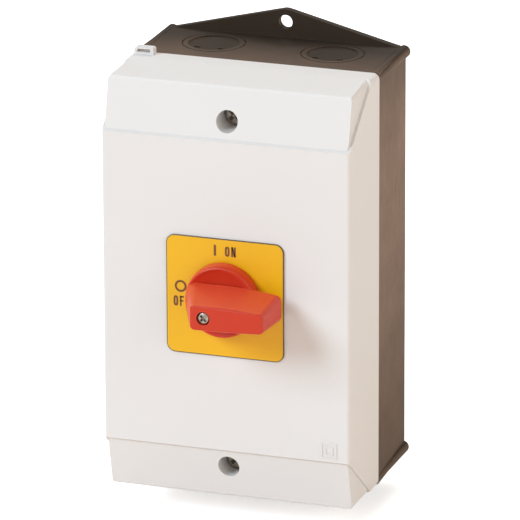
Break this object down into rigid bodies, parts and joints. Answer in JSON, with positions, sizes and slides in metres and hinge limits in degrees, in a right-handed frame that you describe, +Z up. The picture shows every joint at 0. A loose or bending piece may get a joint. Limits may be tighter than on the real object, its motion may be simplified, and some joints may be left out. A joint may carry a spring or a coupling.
{
  "type": "enclosed rotary isolator switch",
  "caption": "Surface-mounted rotary isolator: dark base with fixing lugs, light cover with sloping ends, red handle on a square yellow plate, with a cam-driven contact stack inside.",
  "frame": {"origin": "centre of the wall face, on the handle's axis", "axes": "+X to the right seen from the front, +Z up, front looks along -Y"},
  "size_m": [0.1012, 0.1038, 0.192],
  "materials": {
    "base_plastic": "fine moulded texture",
    "cover_plastic": "fine moulded texture",
    "zinc_steel": "zinc plated",
    "shaft_steel": "drawn bar",
    "spring_steel": "bright",
    "switch_grey": "moulded",
    "switch_black": "moulded",
    "contact_copper": "copper with silver contact pads",
    "cam_plastic": "moulded",
    "terminal_brass": "machined",
    "seal_rubber": "soft",
    "plate_black": "moulded",
    "plate_yellow": "satin",
    "handle_red": "satin"
  },
  "bodies": {
    "enclosure": {"base_housing": "base_plastic", "mounting_plate": "zinc_steel", "plate_screws": "zinc_steel", "switch_foot": "switch_grey", "deck_housing_1": "switch_black", "deck_housing_2": "switch_grey", "deck_housing_3": "switch_black", "fixed_contacts_1": "contact_copper", "fixed_contacts_2": "contact_copper", "fixed_contacts_3": "contact_copper", "contact_spring_1": "spring_steel", "contact_spring_2": "spring_steel", "contact_spring_3": "spring_steel", "terminal_clamps": "zinc_steel", "terminal_screws": "zinc_steel", "latch_housing": "switch_black", "latch_cover": "switch_grey", "latch_springs": "spring_steel", "switch_bolts": "zinc_steel", "switch_nuts": "zinc_steel", "earth_terminal": "terminal_brass", "neutral_terminal": "terminal_brass", "link_screws": "zinc_steel"},
    "shaft": {"drive_shaft": "shaft_steel", "cam_1": "cam_plastic", "cam_2": "cam_plastic", "cam_3": "cam_plastic", "latch_star": "cam_plastic"},
    "bridge_1": {"contact_slider_1": "cam_plastic", "contact_bridge_1": "contact_copper"},
    "bridge_2": {"contact_slider_2": "cam_plastic", "contact_bridge_2": "contact_copper"},
    "bridge_3": {"contact_slider_3": "cam_plastic", "contact_bridge_3": "contact_copper"},
    "cover": {"cover_shell": "cover_plastic", "cover_gasket": "seal_rubber", "screw_retainers": "seal_rubber", "plate_frame": "plate_black", "legend_plate": "plate_yellow", "bearing_bush": "plate_black", "bush_washer": "zinc_steel", "bush_nut": "zinc_steel", "shaft_seal": "seal_rubber"},
    "handle": {"drive_socket": "switch_grey", "knob": "handle_red", "knob_screw": "zinc_steel"},
    "screw_top": {"cover_screw_top": "zinc_steel"},
    "screw_bottom": {"cover_screw_bottom": "zinc_steel"}
  },
  "joints": [
    {"name": "cover_lift", "type": "slide", "parent": "enclosure", "child": "cover", "axis": [0, -1, 0], "range_m": [0, 0.06]},
    {"name": "handle_turn", "type": "hinge", "parent": "cover", "child": "handle", "pos_m": [0, -0.07, 0], "axis": [0, 1, 0], "range_deg": [0, 90]},
    {"name": "shaft_turn", "type": "hinge", "parent": "enclosure", "child": "shaft", "pos_m": [0, -0.03, 0], "axis": [0, 1, 0], "range_deg": [0, 90], "deforming": ["latch_springs"]},
    {"name": "bridge_1_slide", "type": "slide", "parent": "enclosure", "child": "bridge_1", "axis": [-1, 0, 0], "range_m": [0, 0.003], "deforming": ["contact_spring_1"]},
    {"name": "bridge_2_slide", "type": "slide", "parent": "enclosure", "child": "bridge_2", "axis": [-1, 0, 0], "range_m": [0, 0.003], "deforming": ["contact_spring_2"]},
    {"name": "bridge_3_slide", "type": "slide", "parent": "enclosure", "child": "bridge_3", "axis": [-1, 0, 0], "range_m": [0, 0.003], "deforming": ["contact_spring_3"]},
    {"name": "screw_top_turn", "type": "hinge", "parent": "cover", "child": "screw_top", "pos_m": [0, -0.045, 0.0706], "axis": [0, 1, 0], "continuous": true},
    {"name": "screw_bottom_turn", "type": "hinge", "parent": "cover", "child": "screw_bottom", "pos_m": [0, -0.045, -0.0706], "axis": [0, 1, 0], "continuous": true}
  ],
  "couplings": [
    {"joint": "shaft_turn", "follows": "handle_turn", "ratio": 1},
    {"joint": "bridge_1_slide", "follows": "handle_turn", "m_per_rad": 0.0019098},
    {"joint": "bridge_2_slide", "follows": "handle_turn", "m_per_rad": 0.0019098},
    {"joint": "bridge_3_slide", "follows": "handle_turn", "m_per_rad": 0.0019098}
  ]
}
